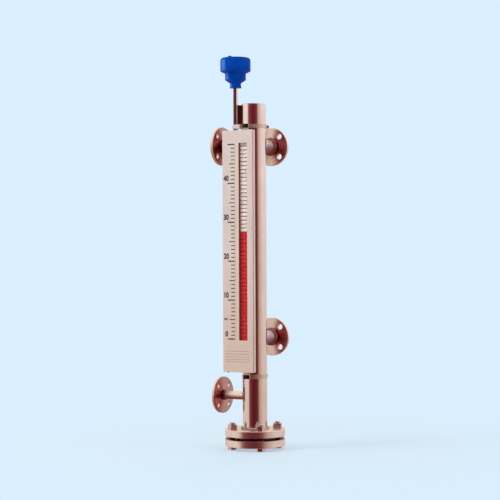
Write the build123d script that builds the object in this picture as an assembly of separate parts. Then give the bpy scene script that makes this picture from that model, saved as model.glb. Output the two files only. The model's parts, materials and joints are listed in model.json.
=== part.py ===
from build123d import *
from math import ceil, cos, radians, sin, sqrt
import os

# A side-mounted tank level gauge: a float chamber with flanged branches, an indicator of
# magnetic flaps on its front and a level transmitter beside it. Millimetres, +Z up.
# The pieces are modelled about the chamber's axis, with heights counted from the lower
# process connection. save() then moves them so that the origin lies at the centre of the
# lower process flange's bolting face, just behind its raised sealing face, with +Y out of it.

# ---- Driving dimensions ----
centre_distance = 500.0          # between the process connections, and the scale's length
level = 275.0                    # the level that the flaps and the float show
hex_chamfer = 0.58                # drop of a hex's turned corners, as a share of their overhang
fit_gap = 0.1                    # radial gap of pieces that slip over each other
weld_gap = 0.1                   # left at a welded saddle

# Chamber
chamber_diameter = 63.5
chamber_wall = 2.5
chamber_above = 106.5            # from the upper connection to the cap's top
chamber_below = 233.5            # from the lower connection to the body flange
cap_thickness = 6.0
cap_rounding = 1.5

# Body flange and blind flange at the foot
foot_flange_diameter = 155.0
foot_flange_thickness = 18.5
foot_pitch_circle = 120.0
foot_bolts = 4
foot_face_clearance = 4.0        # raised faces and gasket to the bolt holes
foot_weld_leg = 4.0
raised_face = 1.0
gasket_thickness = 4.4
bolt_diameter = 14.0
bolt_hole_diameter = 16.0
bolt_across_flats = 21.0
bolt_head_height = 8.8
nut_height = 12.0
bolt_tip = 5.0                   # of the bolt beyond its nut
bolt_angle = 45.0                 # first hole from the branches' plane
flange_edge_chamfer = 1.0

# Side branches
flange_thickness = 10.0
branch_face_height = 2.0         # raised sealing face
branch_hole_diameter = 15.0
hub_land = 5.0                   # straight part of a hub at its flange
process_reach = 97.5             # chamber's axis to the sealing face
process_flange_diameter = 100.0
process_pitch_circle = 75.0
process_face_diameter = 56.0
process_pipe_diameter = 34.0
process_pipe_wall = 2.5
process_hub_diameter = 46.0
process_hub_length = 14.0
service_reach = 105.0
vent_flange_diameter = 100.0
vent_pitch_circle = 75.0
vent_face_diameter = 56.0
vent_pipe_diameter = 27.0
vent_pipe_wall = 2.5
vent_hub_diameter = 36.0
vent_hub_length = 12.0
drain_drop = 150.0               # below the lower connection
drain_flange_diameter = 95.0
drain_pitch_circle = 70.0
drain_face_diameter = 51.0
drain_pipe_diameter = 21.3
drain_pipe_wall = 2.5
drain_hub_diameter = 27.0
drain_hub_length = 8.0

# Float
float_diameter = 50.0
float_wall = 0.7
float_above = 60.0               # of the float above its magnet's middle
float_below = 200.0
float_dome = 12.0
magnet_height = 15.0
magnet_bore = 24.0
stop_clearance = 1.0             # float to stop at either end of the scale
stop_diameter = 54.0
stop_bore = 34.0

# Indicator: a folded cover with the scale and window, on a tray that holds the flaps
indicator_gap = 7.25             # chamber to the tray's back
indicator_left = -61.0
indicator_right = 26.0
indicator_depth = 18.0
indicator_above = 36.0           # above the upper connection
indicator_below = 85.0           # below the lower one
cover_sheet = 1.2
cover_lip = 5.4
cover_corner = 0.8
seam = 3.2                       # shadow gap between the cover's lip and the tray
tray_wall = 3.0
tray_back = 2.0
window_width = 25.0
window_margin = 3.0              # beyond the scale's ends
pane_thickness = 2.0
pane_lap = 2.0                   # of the pane behind the window's edge

# Flaps
flap_pitch = 10.0
flap_height = 9.0
flap_width = 22.4
flap_thickness = 1.6
flap_side_gap = 0.3
flap_recess = 7.6                # cover's front to the flaps' front
trunnion_diameter = 1.5
trunnion_length = 2.0
trunnion_fit = 0.05
hinged_count = 10                # flaps in nodes of their own, as many above the level
rail_width = 3.0
frame_base = 1.2
frame_end = 1.6

# Clamps that carry the indicator
clamp_height = 10.5
clamp_sheet = 1.5
upper_clamp_rise = 11.5          # above the indicator's top
lower_clamp_drop = 12.5          # below its bottom
lug_width = 16.5
clamp_plate_thickness = 4.0      # plate that the clamp screw presses on the tab
clamp_plate_corner = 1.5
clamp_screw_diameter = 6.0
clamp_screw_flats = 10.0
clamp_screw_head = 4.0
clamp_screw_length = 6.5
worm_block_depth = 5.5
worm_block_length = 12.0
worm_block_height = 7.0
worm_diameter = 4.0
worm_flats = 5.5
worm_head = 3.5
upper_worm_angle = 42.0
lower_worm_angle = 100.0

# Transmitter stem
stem_angle = 210.0               # about the chamber, from +X
stem_offset = 46.8
stem_diameter = 12.0
stem_wall = 1.0
stem_below = 58.0                # below the lower connection
stem_clip_rim = 7.0
lower_clip_level = 30.0
bracket_thickness = 5.0
bracket_setback = 3.0            # below the chamber's top
strip_width = 8.8
strip_thickness = 1.6
strip_top_gap = 6.0

# Transmitter head, with heights from its foot
head_rise = 41.5                 # foot above the chamber's top
foot_ring_height = 2.0
foot_ring_diameter = 30.8
neck_diameter = 28.6
neck_height = 12.0
waist_diameter = 54.0
waist_start = 20.5
waist_end = 37.0
head_diameter = 78.5
shoulder_end = 43.0
rim_end = 47.0
spigot_height = 12.0
spigot_wall = 4.0
socket_depth = 18.0
wire_hole_diameter = 8.0
pocket_floor = 24.0
pocket_diameter = 46.0
seal_thickness = 1.0
seal_width = 4.25
seal_setback = 0.9
lid_shoulder = 77.0
lid_top = 80.0
lid_wall = 4.0
lid_corner = 7.5
lug_circle = 20.7
lug_diameter = 9.0
lug_top = 81.5
lug_angle = -103.0
entry_angle = 120.0
entry_boss_diameter = 19.0
entry_boss_reach = 40.0
entry_bore_diameter = 12.0
plug_flats = 17.0
plug_head = 6.0
plug_shank = 10.0
block_length = 28.0
block_width = 15.0
block_height = 11.0
block_terminals = 4
terminal_hole_diameter = 3.5
terminal_hole_depth = 5.0

# Cover screws in the indicator's ends
cover_screw_diameter = 3.0
cover_screw_head_diameter = 5.6
cover_screw_head = 1.8
cover_screw_length = 5.0
cover_screw_inset = 14.0

# ---- Places worked out from them ----
chamber_radius = chamber_diameter / 2
chamber_inside = chamber_radius - chamber_wall
chamber_top = centre_distance + chamber_above
chamber_base = -chamber_below
tube_top = chamber_top - cap_thickness
foot_face = chamber_base - foot_flange_thickness - raised_face
blind_face = foot_face - gasket_thickness
blind_top = blind_face - raised_face
blind_base = blind_top - foot_flange_thickness
foot_face_radius = (foot_pitch_circle - bolt_hole_diameter) / 2 - foot_face_clearance
origin_reach = process_reach - branch_face_height

tray_rear = -chamber_radius - indicator_gap
cover_front = tray_rear - indicator_depth
cover_inner = cover_front + cover_sheet
tray_shoulder = cover_front + cover_lip + seam
indicator_top = centre_distance + indicator_above
indicator_base = -indicator_below
tongue_setback = cover_sheet + fit_gap
pane_front = cover_inner + fit_gap
pane_rear = pane_front + pane_thickness
flap_axis = cover_front + flap_recess + flap_thickness / 2
rail_inner = flap_width / 2 + flap_side_gap
rail_outer = rail_inner + rail_width
rail_front = pane_rear + fit_gap
frame_rear = tray_rear - tray_back
plate_front = frame_rear - clamp_plate_thickness
flap_count = round(centre_distance / flap_pitch) + 1
column_base = -flap_pitch / 2 - frame_end
column_top = (flap_count - 0.5) * flap_pitch + frame_end
first_white = ceil(level / flap_pitch)

upper_clamp = indicator_top + upper_clamp_rise
lower_clamp = indicator_base - lower_clamp_drop
band_inside = chamber_radius + fit_gap
band_outside = band_inside + clamp_sheet

stem_radius = stem_diameter / 2
stem_x = stem_offset * cos(radians(stem_angle))
stem_y = stem_offset * sin(radians(stem_angle))
head_base = chamber_top + head_rise
stem_top = head_base + socket_depth
head_floor = head_base + pocket_floor
seal_radius = head_diameter / 2 - seal_setback
spigot_radius = seal_radius - seal_width - fit_gap

BOTTOM = (Align.CENTER, Align.CENTER, Align.MIN)
TO_REAR = Rot(-90, 0, 0)         # turns +Z to +Y
TO_LEFT = Rot(0, -90, 0)         # turns +Z to -X


# ---- Shared forms ----
def rod(radius, low, high):
    """An upright cylinder from one height to another."""
    return Pos(0, 0, low) * Cylinder(radius, high - low, align=BOTTOM)


def tube(outer, inner, low, high):
    return rod(outer, low, high) - rod(inner, low, high)


def block(x, y, z):
    """A box between three pairs of limits."""
    middle = Pos(sum(x) / 2, sum(y) / 2, sum(z) / 2)
    return middle * Box(x[1] - x[0], y[1] - y[0], z[1] - z[0])


def hexagon(across_flats, low, high):
    """A hex prism whose corners are turned off at a shallow angle at both ends."""
    outline = RegularPolygon(across_flats / 2, 6, major_radius=False)
    prism = Pos(0, 0, low) * extrude(outline, high - low)
    corner = across_flats / sqrt(3)
    drop = hex_chamfer * (corner - across_flats / 2)
    barrel = turned([
        (0, low),
        (across_flats / 2, low),
        (corner, low + drop),
        (corner, high - drop),
        (across_flats / 2, high),
        (0, high),
    ])
    return prism & barrel


def turned(points):
    """A closed outline of (radius, height) points turned about the Z axis."""
    outline = make_face(Polyline(*points, close=True))
    return revolve(Plane.XZ * outline, Axis.Z)


def around(count, circle, start):
    """Places on a circle about the Z axis."""
    return PolarLocations(circle / 2, count, start_angle=start)


def save(name, shape):
    shape = Pos(0, -origin_reach, 0) * shape
    shape.label = name
    export_step(shape, f"parts/{name}.step")


def group(shapes):
    """Several separate solids as one node."""
    return Compound([solid for shape in shapes for solid in shape.solids()])


# ---- Side branches ----
class Branch:
    """A pipe and a flange that leave the chamber at one height."""

    def __init__(self, name, height, turn, reach, pipe, hub, flange):
        self.name = name
        self.place = Pos(0, 0, height) * turn
        self.reach = reach
        self.pipe_radius = pipe[0] / 2
        self.bore_radius = pipe[0] / 2 - pipe[1]
        self.hub_radius = hub[0] / 2
        self.hub_length = hub[1]
        self.flange_radius = flange[0] / 2
        self.pitch_circle = flange[1]
        self.face_radius = flange[2] / 2
        self.back = reach - branch_face_height - flange_thickness

    def bore(self):
        return self.place * rod(self.bore_radius, 0, self.reach)

    def nozzle(self):
        """The pipe from the chamber's wall to the hub."""
        hub_end = self.back - self.hub_length
        pipe = self.place * rod(self.pipe_radius, 0, hub_end)
        return pipe - rod(chamber_radius + weld_gap, chamber_base, chamber_top) - self.bore()

    def flange(self):
        """A welding-neck flange with its raised face and bolt holes."""
        hub_end = self.back - self.hub_length
        plate_end = self.reach - branch_face_height
        body = turned([
            (self.bore_radius, hub_end),
            (self.pipe_radius, hub_end),
            (self.hub_radius, self.back - min(hub_land, self.hub_length / 2)),
            (self.hub_radius, self.back),
            (self.flange_radius - flange_edge_chamfer, self.back),
            (self.flange_radius, self.back + flange_edge_chamfer),
            (self.flange_radius, plate_end - flange_edge_chamfer),
            (self.flange_radius - flange_edge_chamfer, plate_end),
            (self.face_radius, plate_end),
            (self.face_radius, self.reach),
            (self.bore_radius, self.reach),
        ])
        hole = rod(branch_hole_diameter / 2, self.back - flange_thickness, self.reach)
        holes = [spot * hole for spot in around(4, self.pitch_circle, bolt_angle)]
        return self.place * (body - holes)


process_pipe = (process_pipe_diameter, process_pipe_wall)
process_hub = (process_hub_diameter, process_hub_length)
process_flange = (process_flange_diameter, process_pitch_circle, process_face_diameter)
vent_flange = (vent_flange_diameter, vent_pitch_circle, vent_face_diameter)
drain_flange = (drain_flange_diameter, drain_pitch_circle, drain_face_diameter)
branches = [
    Branch("upper_process", centre_distance, TO_REAR, process_reach,
           process_pipe, process_hub, process_flange),
    Branch("lower_process", 0, TO_REAR, process_reach,
           process_pipe, process_hub, process_flange),
    Branch("vent", centre_distance, TO_LEFT, service_reach,
           (vent_pipe_diameter, vent_pipe_wall), (vent_hub_diameter, vent_hub_length),
           vent_flange),
    Branch("drain", -drain_drop, TO_LEFT, service_reach,
           (drain_pipe_diameter, drain_pipe_wall), (drain_hub_diameter, drain_hub_length),
           drain_flange),
]


# ---- Chamber ----
def chamber_tube():
    shell = tube(chamber_radius, chamber_inside, chamber_base, tube_top)
    return shell - [branch.bore() for branch in branches]


def chamber_cap():
    cap = rod(chamber_radius, tube_top, chamber_top)
    rim = cap.edges().sort_by(Axis.Z)[-1]
    return fillet(rim, cap_rounding)


def foot_holes():
    hole = rod(bolt_hole_diameter / 2, blind_base, chamber_base)
    return [spot * hole for spot in around(foot_bolts, foot_pitch_circle, bolt_angle)]


def chamber_flange():
    """The flange at the chamber's foot, with its weld fillet and a raised face below."""
    radius = foot_flange_diameter / 2
    bottom = chamber_base - foot_flange_thickness
    body = turned([
        (chamber_inside, foot_face),
        (foot_face_radius, foot_face),
        (foot_face_radius, bottom),
        (radius - flange_edge_chamfer, bottom),
        (radius, bottom + flange_edge_chamfer),
        (radius, chamber_base - flange_edge_chamfer),
        (radius - flange_edge_chamfer, chamber_base),
        (chamber_radius + weld_gap + foot_weld_leg, chamber_base),
        (chamber_radius + weld_gap, chamber_base + foot_weld_leg),
        (chamber_radius + weld_gap, chamber_base),
        (chamber_inside, chamber_base),
    ])
    return body - foot_holes()


def blind_flange():
    radius = foot_flange_diameter / 2
    body = turned([
        (0, blind_base),
        (radius - flange_edge_chamfer, blind_base),
        (radius, blind_base + flange_edge_chamfer),
        (radius, blind_top - flange_edge_chamfer),
        (radius - flange_edge_chamfer, blind_top),
        (foot_face_radius, blind_top),
        (foot_face_radius, blind_face),
        (0, blind_face),
    ])
    return body - foot_holes()


def flange_gasket():
    return tube(foot_face_radius, chamber_inside, blind_face, foot_face)


def flange_bolts():
    """Hex bolts that stand head down through both foot flanges."""
    shank = rod(bolt_diameter / 2 - fit_gap, blind_base, chamber_base + nut_height + bolt_tip)
    head = hexagon(bolt_across_flats, blind_base - bolt_head_height, blind_base)
    tip = shank.edges().sort_by(Axis.Z)[-1]
    bolt = chamfer(tip, flange_edge_chamfer) + head
    return group([spot * bolt for spot in around(foot_bolts, foot_pitch_circle, bolt_angle)])


def flange_nuts():
    nut = hexagon(bolt_across_flats, chamber_base, chamber_base + nut_height)
    nut -= rod(bolt_diameter / 2, chamber_base, chamber_base + nut_height)
    return group([spot * nut for spot in around(foot_bolts, foot_pitch_circle, bolt_angle)])


# ---- Float ----
def capsule(radius, low, high, dome):
    """A float's outline: a cylinder with a shallow dome at each end."""
    sphere = (radius**2 + dome**2) / (2 * dome)
    bottom = RadiusArc((0, low), (radius, low + dome), -sphere)
    side = Line((radius, low + dome), (radius, high - dome))
    top = RadiusArc((radius, high - dome), (0, high), -sphere)
    middle = Line((0, high), (0, low))
    outline = make_face(Wire([bottom.edge(), side.edge(), top.edge(), middle.edge()]))
    return revolve(Plane.XZ * outline, Axis.Z)


def float_shell():
    low = level - float_below
    high = level + float_above
    outer = capsule(float_diameter / 2, low, high, float_dome)
    inner = capsule(float_diameter / 2 - float_wall, low + float_wall, high - float_wall, float_dome)
    return outer - inner


def float_magnet():
    """The ring magnet at the float's waterline, whose field turns the flaps."""
    outer = float_diameter / 2 - float_wall - fit_gap
    return tube(outer, magnet_bore / 2, level - magnet_height / 2, level + magnet_height / 2)


def float_stops():
    """Sleeves on the blind flange and under the cap that the float comes to rest on."""
    lowest = -float_below - stop_clearance
    highest = centre_distance + float_above + stop_clearance
    lower = tube(stop_diameter / 2, stop_bore / 2, blind_face, lowest)
    upper = tube(stop_diameter / 2, stop_bore / 2, highest, tube_top)
    return group([lower, upper])


# ---- Indicator ----
def indicator_housing():
    """The tray behind the cover, with a tongue under the cover's lip and a tab at each end."""
    across = (indicator_left, indicator_right)
    along = (indicator_base, indicator_top)
    body = block(across, (tray_shoulder, tray_rear), along)
    tongue_across = (indicator_left + tongue_setback, indicator_right - tongue_setback)
    tongue_along = (indicator_base + tongue_setback, indicator_top - tongue_setback)
    body += block(tongue_across, (pane_front, tray_rear), tongue_along)
    pocket_across = (indicator_left + tray_wall, indicator_right - tray_wall)
    pocket_along = (indicator_base + tray_wall, indicator_top - tray_wall)
    body -= block(pocket_across, (cover_front, frame_rear), pocket_along)
    for near, far in ((indicator_top, upper_clamp), (indicator_base, lower_clamp)):
        end = far + clamp_height / 2 if far > near else far - clamp_height / 2
        tab_along = (min(near, end), max(near, end))
        body += block((-lug_width / 2, lug_width / 2), (frame_rear, tray_rear), tab_along)
        body -= screw_hole(far)
    for spot in cover_screw_spots():
        body -= spot * rod(cover_screw_diameter / 2, -tray_wall, cover_screw_head)
    return body


def screw_hole(height):
    """The hole of a clamp screw, through a tab and into its lug."""
    depth = clamp_plate_thickness + clamp_screw_length + fit_gap
    hole = rod(clamp_screw_diameter / 2 + fit_gap, 0, depth)
    return Pos(0, plate_front, height) * TO_REAR * hole


def cover_screw_spots():
    """Four places in the indicator's ends, with +Z out of each end."""
    y = cover_front + cover_lip / 2
    spots = []
    for x in (indicator_left + cover_screw_inset, indicator_right - cover_screw_inset):
        spots.append(Pos(x, y, indicator_top - tongue_setback))
        spots.append(Pos(x, y, indicator_base + tongue_setback) * Rot(180, 0, 0))
    return spots


def scale_cover():
    """The folded front sheet: printed face, lips on all four sides and the window."""
    across = (indicator_left, indicator_right)
    along = (indicator_base, indicator_top)
    sheet = block(across, (cover_front, cover_front + cover_lip), along)
    sheet = fillet(sheet.faces().sort_by(Axis.Y)[0].edges(), cover_corner)
    inner_across = (indicator_left + cover_sheet, indicator_right - cover_sheet)
    inner_along = (indicator_base + cover_sheet, indicator_top - cover_sheet)
    sheet -= block(inner_across, (cover_inner, tray_rear), inner_along)
    half = window_width / 2
    window_along = (-window_margin, centre_distance + window_margin)
    sheet -= block((-half, half), (cover_front - cover_sheet, cover_inner), window_along)
    for spot in cover_screw_spots():
        sheet -= spot * rod(cover_screw_diameter / 2 + fit_gap, -tray_wall, tray_wall)
    return sheet


def cover_screws():
    """Pan-head screws that hold the cover's end lips to the tray."""
    seat = tongue_setback
    screw = rod(cover_screw_head_diameter / 2, seat, seat + cover_screw_head)
    screw += rod(cover_screw_diameter / 2 - fit_gap, seat - cover_screw_length, seat)
    return group([spot * screw for spot in cover_screw_spots()])


def window_pane():
    half = window_width / 2 + pane_lap
    along = (-window_margin - pane_lap, centre_distance + window_margin + pane_lap)
    return block((-half, half), (pane_front, pane_rear), along)


def flap_frame():
    """The channel whose rails carry a pair of trunnion bores for every flap."""
    along = (column_base, column_top)
    frame = block((-rail_outer, rail_outer), (rail_front, frame_rear), along)
    inside = (column_base + frame_end, column_top - frame_end)
    frame -= block((-rail_inner, rail_inner), (cover_front, frame_rear - frame_base), inside)
    depth = flap_width / 2 + trunnion_length + fit_gap
    bore = rod(trunnion_diameter / 2 + trunnion_fit, -depth, depth)
    bores = [Pos(0, flap_axis, index * flap_pitch) * TO_LEFT * bore for index in range(flap_count)]
    return frame - bores


def flap(index):
    """A two-coloured magnetic flap with a trunnion at each end."""
    half_length = flap_width / 2 + trunnion_length
    leaf = Box(flap_width, flap_thickness, flap_height)
    leaf += TO_LEFT * rod(trunnion_diameter / 2, -half_length, half_length)
    return Pos(0, flap_axis, index * flap_pitch) * leaf


# ---- Clamps ----
def worm_screw_place(height, angle):
    """The middle of a band's worm block, with +X outwards and +Z along the screw."""
    radial = band_outside + worm_block_depth / 2
    return Pos(0, 0, height) * Rot(0, 0, angle) * Pos(radial, 0, 0) * Rot(-90, 0, 0)


def clamp_band(height, worm_angle):
    """A band round the chamber with the block of its tightening screw."""
    low = height - clamp_height / 2
    high = height + clamp_height / 2
    place = worm_screw_place(height, worm_angle)
    half = worm_block_length / 2
    band = tube(band_outside, band_inside, low, high)
    sink = clamp_sheet / 2
    housing = block((-worm_block_depth / 2 - sink, worm_block_depth / 2),
                    (-worm_block_height / 2, worm_block_height / 2), (-half, half))
    housing = place * housing - rod(band_inside, low, high)
    return band + housing - place * rod(worm_diameter / 2 + fit_gap, -half, half)


def clamp_lug(height):
    """The block between a band and the indicator's tab."""
    low = height - clamp_height / 2
    high = height + clamp_height / 2
    lug = block((-lug_width / 2, lug_width / 2), (tray_rear, -chamber_inside), (low, high))
    return lug - rod(band_outside + weld_gap / 2, low, high) - screw_hole(height)


def clamp_plate(height):
    """The plate in front of the indicator's tab that its screw presses on."""
    along = (height - clamp_height / 2, height + clamp_height / 2)
    across = (-lug_width / 2, lug_width / 2)
    plate = block(across, (plate_front, frame_rear), along)
    plate = fillet(plate.faces().sort_by(Axis.Y)[0].edges(), clamp_plate_corner)
    return plate - screw_hole(height)


def clamp_screw(height):
    """A hex screw through the plate and the indicator's tab into the lug."""
    shank = clamp_plate_thickness + clamp_screw_length
    screw = hexagon(clamp_screw_flats, 0, clamp_screw_head)
    screw += rod(clamp_screw_diameter / 2, clamp_screw_head, clamp_screw_head + shank)
    return Pos(0, plate_front - clamp_screw_head, height) * TO_REAR * screw


def worm_screw(height, angle):
    half = worm_block_length / 2
    screw = rod(worm_diameter / 2, -half, half) + hexagon(worm_flats, half, half + worm_head)
    return worm_screw_place(height, angle) * screw


# ---- Transmitter ----
def stem_clips():
    """The upper block ties the stem to its band; the lower one ties it to the tray."""
    low = upper_clamp - clamp_height / 2
    high = upper_clamp + clamp_height / 2
    clip_across = (stem_x - stem_clip_rim, stem_x + chamber_radius / 2)
    upper = block(clip_across, (stem_y - stem_clip_rim, stem_y + stem_clip_rim), (low, high))
    upper -= rod(band_outside + weld_gap / 2, low, high)
    lower_low = lower_clip_level - clamp_height / 2
    lower_high = lower_clip_level + clamp_height / 2
    across = (stem_x - stem_clip_rim, stem_x + stem_clip_rim)
    lower = block(across, (tray_rear, stem_y + stem_clip_rim), (lower_low, lower_high))
    hole = Pos(stem_x, stem_y, 0) * rod(stem_radius + fit_gap, lower_low, high)
    return group([upper - hole, lower - hole])


def stem_bracket():
    """The plate welded between the chamber's top and the stem."""
    low = upper_clamp + clamp_height / 2 + stop_clearance
    high = chamber_top - bracket_setback
    half = bracket_thickness / 2
    plate = Rot(0, 0, stem_angle) * block((chamber_inside, stem_offset), (-half, half), (low, high))
    plate -= rod(chamber_radius + weld_gap, low, high)
    return plate - Pos(stem_x, stem_y, 0) * rod(stem_radius + weld_gap, low, high)


def sensor_tube():
    outside = rod(stem_radius, -stem_below, stem_top)
    inside = rod(stem_radius - stem_wall, -stem_below + stem_wall, stem_top)
    return Pos(stem_x, stem_y, 0) * (outside - inside)


def sensor_strip():
    """The reed chain's board inside the stem."""
    half_width = strip_width / 2
    half_thickness = strip_thickness / 2
    along = (-stem_below + stem_wall, stem_top - strip_top_gap)
    strip = block((-half_width, half_width), (-half_thickness, half_thickness), along)
    return Pos(stem_x, stem_y, 0) * strip


def on_head(shape):
    return Pos(stem_x, stem_y, head_base) * shape


def entry_place():
    """The cable entry, with +Z outwards."""
    middle = (waist_start + waist_end) / 2
    return Pos(0, 0, middle) * Rot(0, 0, entry_angle) * Rot(0, 90, 0)


def head_body():
    """The lower half of the head: neck, waist and rim, with a spigot under the lid."""
    body = turned([
        (0, 0),
        (foot_ring_diameter / 2, 0),
        (foot_ring_diameter / 2, foot_ring_height),
        (neck_diameter / 2, foot_ring_height),
        (neck_diameter / 2, neck_height),
        (waist_diameter / 2, waist_start),
        (waist_diameter / 2, waist_end),
        (head_diameter / 2, shoulder_end),
        (head_diameter / 2, rim_end),
        (spigot_radius, rim_end),
        (spigot_radius, rim_end + spigot_height),
        (0, rim_end + spigot_height),
    ])
    body += entry_place() * rod(entry_boss_diameter / 2, pocket_diameter / 2, entry_boss_reach)
    body -= rod(pocket_diameter / 2, pocket_floor, rim_end + spigot_height)
    body -= rod(spigot_radius - spigot_wall, shoulder_end, rim_end + spigot_height)
    body -= rod(stem_radius + fit_gap, 0, socket_depth)
    body -= rod(wire_hole_diameter / 2, socket_depth, pocket_floor)
    return on_head(body - entry_place() * rod(entry_bore_diameter / 2, 0, entry_boss_reach))


def head_lid():
    """The domed screw cap with two lugs to turn it by."""
    base = rim_end + seal_thickness
    radius = head_diameter / 2
    rise = lid_top - lid_shoulder
    side = Polyline((0, base), (radius, base), (radius, lid_shoulder))
    dome = ThreePointArc((radius, lid_shoulder), (radius / 2, lid_top - rise / 4), (0, lid_top))
    outline = make_face(Wire([*side.edges(), dome, Line((0, lid_top), (0, base))]))
    corner = outline.vertices().sort_by_distance((radius, lid_shoulder))[0]
    lid = revolve(Plane.XZ * fillet(corner, lid_corner), Axis.Z)
    lug = rod(lug_diameter / 2, lid_shoulder - lid_wall, lug_top)
    lid += [spot * lug for spot in around(2, 2 * lug_circle, lug_angle)]
    return on_head(lid - rod(spigot_radius + fit_gap, base, lid_shoulder - lid_wall))


def lid_seal():
    return on_head(tube(seal_radius, seal_radius - seal_width, rim_end, rim_end + seal_thickness))


def terminal_block():
    """The terminals that stand on the head's floor."""
    top = pocket_floor + block_height
    body = block((-block_length / 2, block_length / 2), (-block_width / 2, block_width / 2),
                 (pocket_floor, top))
    hole = rod(terminal_hole_diameter / 2, top - terminal_hole_depth, top)
    step = block_length / block_terminals
    body -= [spot * hole for spot in GridLocations(step, step, block_terminals, 1)]
    return on_head(body)


def entry_plug():
    """The hex plug that closes the cable entry until a cable gland is fitted."""
    end = entry_boss_reach
    plug = rod(entry_bore_diameter / 2 - fit_gap, end - plug_shank, end)
    plug += hexagon(plug_flats, end, end + plug_head)
    return on_head(entry_place() * plug)


# ---- Write every piece ----
os.makedirs("parts", exist_ok=True)

save("chamber_tube", chamber_tube())
save("chamber_cap", chamber_cap())
for branch in branches:
    save(f"{branch.name}_nozzle", branch.nozzle())
    save(f"{branch.name}_flange", branch.flange())
save("chamber_flange", chamber_flange())
save("blind_flange", blind_flange())
save("flange_gasket", flange_gasket())
save("flange_bolts", flange_bolts())
save("flange_nuts", flange_nuts())

save("float_shell", float_shell())
save("float_magnet", float_magnet())
save("float_stops", float_stops())

save("indicator_housing", indicator_housing())
save("scale_cover", scale_cover())
save("cover_screws", cover_screws())
save("window_pane", window_pane())
save("flap_frame", flap_frame())
first_hinged = first_white - hinged_count
last_hinged = first_white + hinged_count - 1
for index in range(first_hinged, last_hinged + 1):
    save(f"flap_{index:02d}", flap(index))
save("lower_flaps", group([flap(index) for index in range(first_hinged)]))
save("upper_flaps", group([flap(index) for index in range(last_hinged + 1, flap_count)]))

save("upper_clamp_band", clamp_band(upper_clamp, upper_worm_angle))
save("lower_clamp_band", clamp_band(lower_clamp, lower_worm_angle))
save("clamp_lugs", group([clamp_lug(upper_clamp), clamp_lug(lower_clamp)]))
save("clamp_plates", group([clamp_plate(upper_clamp), clamp_plate(lower_clamp)]))
save("clamp_screws", group([clamp_screw(upper_clamp), clamp_screw(lower_clamp)]))
save("worm_screws", group([worm_screw(upper_clamp, upper_worm_angle),
                           worm_screw(lower_clamp, lower_worm_angle)]))

save("sensor_tube", sensor_tube())
save("sensor_strip", sensor_strip())
save("stem_bracket", stem_bracket())
save("stem_clips", stem_clips())
save("head_body", head_body())
save("head_lid", head_lid())
save("lid_seal", lid_seal())
save("terminal_block", terminal_block())
save("entry_plug", entry_plug())
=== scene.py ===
# %% [markdown]
# # A tank level gauge, dressed
# The gauge stands beside a tank and shows how full it is. A float rises inside the steel chamber,
# and its magnet turns small flaps over, red below the level and cream above it. The solid parts
# arrive finished and stay where they are. This script gives them their finishes, adds the print,
# the welds and the threads, and sets up a plain studio.

# %% Load the finished parts
import math

import bpy
import numpy as np
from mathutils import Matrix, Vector
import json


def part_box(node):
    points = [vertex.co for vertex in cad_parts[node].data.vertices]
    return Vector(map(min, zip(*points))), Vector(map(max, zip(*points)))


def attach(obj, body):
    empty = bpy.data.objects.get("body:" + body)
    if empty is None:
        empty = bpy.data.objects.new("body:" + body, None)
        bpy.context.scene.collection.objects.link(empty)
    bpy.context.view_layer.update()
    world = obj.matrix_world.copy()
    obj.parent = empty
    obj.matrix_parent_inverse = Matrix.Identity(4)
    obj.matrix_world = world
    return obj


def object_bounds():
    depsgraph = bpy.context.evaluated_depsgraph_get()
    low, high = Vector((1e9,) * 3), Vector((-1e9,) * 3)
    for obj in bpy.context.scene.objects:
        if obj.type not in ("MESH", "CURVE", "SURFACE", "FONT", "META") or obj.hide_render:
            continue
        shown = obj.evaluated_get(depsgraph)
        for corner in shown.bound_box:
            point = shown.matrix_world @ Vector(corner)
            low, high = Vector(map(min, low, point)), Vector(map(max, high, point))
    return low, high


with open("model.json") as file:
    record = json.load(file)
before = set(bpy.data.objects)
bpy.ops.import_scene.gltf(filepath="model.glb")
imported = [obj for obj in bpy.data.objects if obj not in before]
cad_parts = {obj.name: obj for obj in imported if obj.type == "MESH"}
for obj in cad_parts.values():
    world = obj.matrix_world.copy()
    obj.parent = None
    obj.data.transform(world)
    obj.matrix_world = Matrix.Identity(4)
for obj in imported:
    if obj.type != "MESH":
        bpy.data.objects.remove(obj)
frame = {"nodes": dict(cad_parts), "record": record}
nodes = frame["nodes"]
cad_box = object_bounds()

# %% [markdown]
# Places are read from the parts' own boxes wherever a part marks them, so a finish or a weld
# follows a part whose size changes. `limits` gives a part's lowest and highest corner in metres.


# %% Read places from the parts
def limits(name):
    """The lowest and the highest corner of a part, each as x, y, z."""
    low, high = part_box(name)
    return np.array(low), np.array(high)


def middle(name):
    """The middle of a part's box: the mean of its two corners."""
    low, high = limits(name)
    return (low + high) / 2


tube_low, tube_high = limits("chamber_tube")
axis_x, axis_y = middle("chamber_tube")[:2]
tube_radius = (tube_high[0] - tube_low[0]) / 2
cover_corner = limits("scale_cover")[0]
cover_front, cover_foot = float(cover_corner[1]), float(cover_corner[2])
print("chamber radius", round(float(tube_radius), 5), "cover front", round(cover_front, 4))

# %% [markdown]
# ## Tools for finishes
# A finish is a small network of shader nodes. These helpers make a node, feed its sockets and
# hand back its output, so each material below reads like a recipe.


# %% Shader node helpers
def feed(tree, node, key, value):
    """Put a value on an input or link an output to it; a colour of three numbers is made opaque."""
    socket = node.inputs[int(key)] if key.isdigit() else node.inputs[key]
    if isinstance(value, bpy.types.NodeSocket):
        tree.links.new(value, socket)
    elif socket.type == "RGBA":
        socket.default_value = (*value[:3], 1.0)
    else:
        socket.default_value = value


def add_node(tree, kind, settings=None, **inputs):
    """Add a node, set its own settings, then give its inputs a value or a link."""
    node = tree.nodes.new(kind)
    for key, value in (settings or {}).items():
        setattr(node, key, value)
    for key, value in inputs.items():
        feed(tree, node, key.replace("_", " "), value)
    return node


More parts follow.
